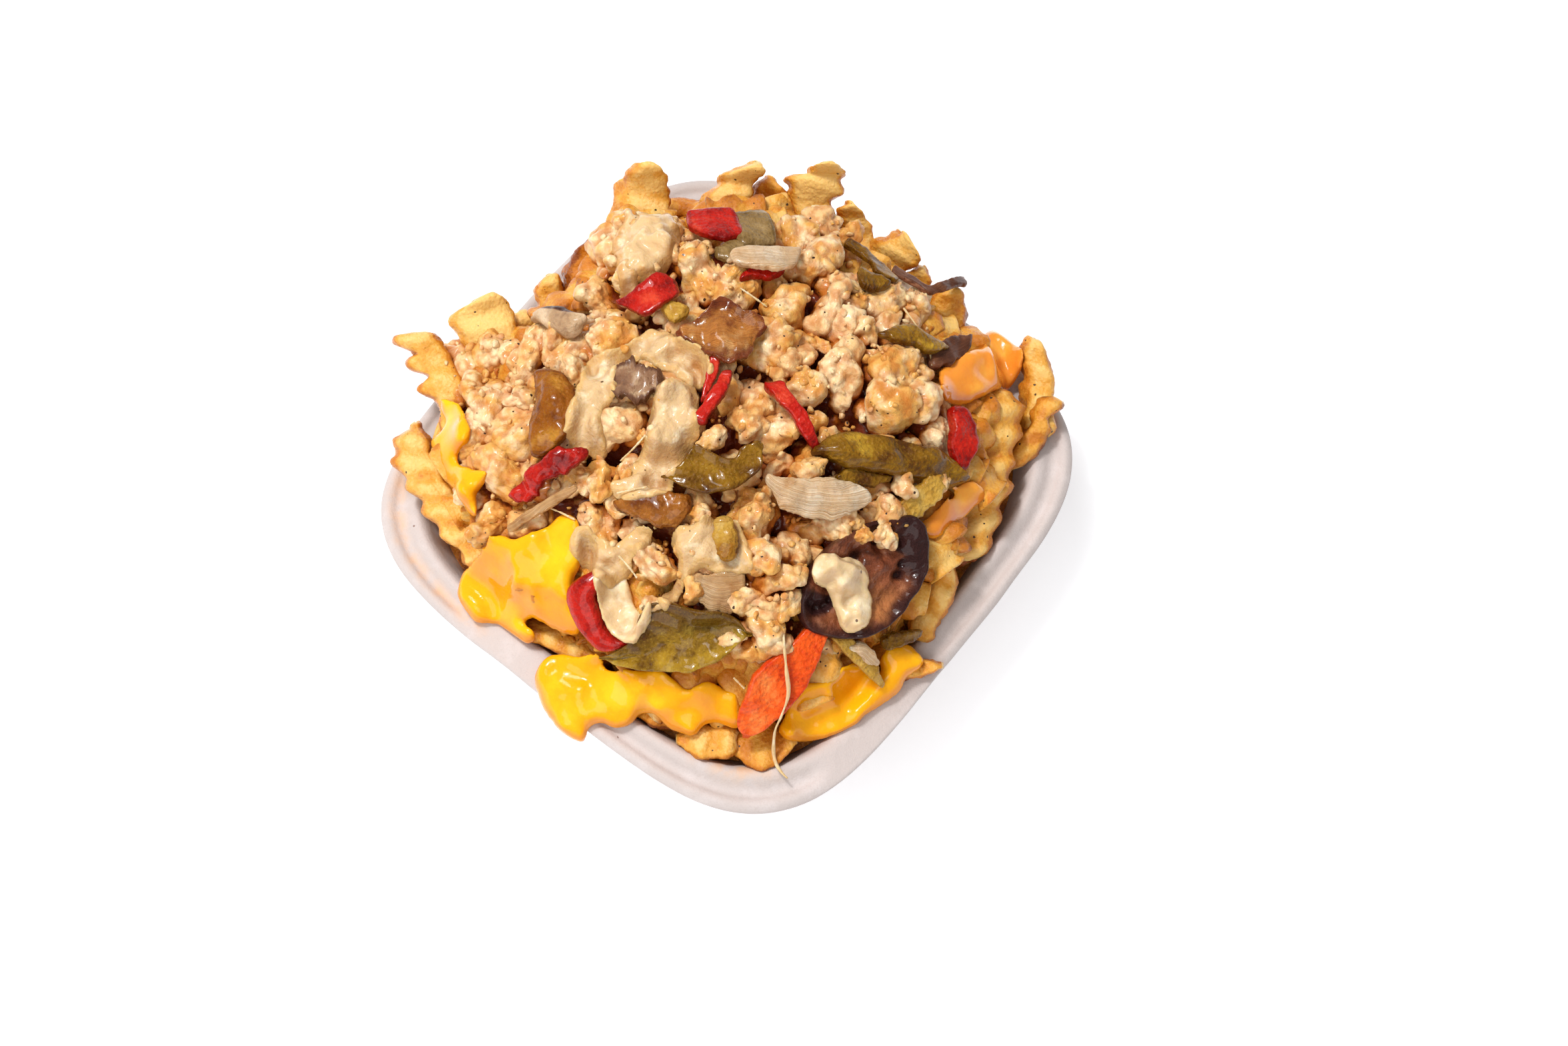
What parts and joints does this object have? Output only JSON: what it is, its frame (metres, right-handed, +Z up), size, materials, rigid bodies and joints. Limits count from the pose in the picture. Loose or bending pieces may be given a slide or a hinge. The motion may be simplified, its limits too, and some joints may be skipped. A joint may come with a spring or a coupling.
{
  "type": "chicken and pepper loaded crinkle fries in a square fibre tray",
  "caption": "Square moulded-fibre tray of crinkle-cut fries heaped with chopped chicken, peppers, onion, mushroom, melted cheese and yellow cheese sauce.",
  "frame": {"origin": "centre of the tray's flat foot", "axes": "+Z up out of the tray, X and Y parallel to the tray's sides, -Y and +X the sides towards the picture"},
  "size_m": [0.1761, 0.1816, 0.0885],
  "materials": {
    "tray_fibre": "matt off-white moulded plant fibre, fine grain, faint oil stains",
    "fries": "golden crinkle-cut fries, crumbly skin, browned ridges",
    "chicken": "cream chopped chicken, moist, browned hollows, pepper flecks",
    "red_pepper": "glossy cooked red pepper",
    "green_pepper": "glossy cooked olive green pepper",
    "onion": "translucent cooked onion",
    "browned_onion": "glossy browned onion",
    "mushroom": "wet brown cooked mushroom",
    "melted_cheese": "cream melted cheese, satin",
    "cheese_sauce": "thick glossy yellow cheese sauce"
  },
  "bodies": {
    "root": {"browned_piece": "browned_onion", "browned_strip": "browned_onion", "cheese_sauce_corner": "cheese_sauce", "cheese_sauce_drape": "cheese_sauce", "cheese_sauce_front": "cheese_sauce", "cheese_sauce_left": "cheese_sauce", "cheese_sauce_pool": "cheese_sauce", "cheese_sauce_right": "cheese_sauce", "chicken_heap": "chicken", "fries_heap": "fries", "green_pepper_back": "green_pepper", "green_pepper_back_low": "green_pepper", "green_pepper_bit": "green_pepper", "green_pepper_brown": "green_pepper", "green_pepper_chip": "green_pepper", "green_pepper_corner": "green_pepper", "green_pepper_curved": "green_pepper", "green_pepper_edge": "green_pepper", "green_pepper_far": "green_pepper", "green_pepper_leaf": "green_pepper", "green_pepper_long": "green_pepper", "green_pepper_nub": "green_pepper", "green_pepper_right": "green_pepper", "green_pepper_slab": "green_pepper", "green_pepper_small": "green_pepper", "green_pepper_upper": "green_pepper", "melted_cheese_back": "melted_cheese", "melted_cheese_centre": "melted_cheese", "melted_cheese_fork": "melted_cheese", "melted_cheese_front": "melted_cheese", "melted_cheese_left": "melted_cheese", "melted_cheese_run": "melted_cheese", "melted_cheese_slice": "melted_cheese", "mushroom_cap": "mushroom", "mushroom_piece": "mushroom", "mushroom_slice": "mushroom", "onion_back": "onion", "onion_browned": "browned_onion", "onion_centre": "onion", "onion_clear": "onion", "onion_curl": "onion", "onion_stick": "onion", "red_pepper_back": "red_pepper", "red_pepper_crossed": "red_pepper", "red_pepper_front": "red_pepper", "red_pepper_glossy": "red_pepper", "red_pepper_left": "red_pepper", "red_pepper_long": "red_pepper", "red_pepper_right": "red_pepper", "red_pepper_strip": "red_pepper", "red_pepper_tucked": "red_pepper", "red_pepper_upper": "red_pepper", "tray": "tray_fibre"}
  },
  "joints": []
}
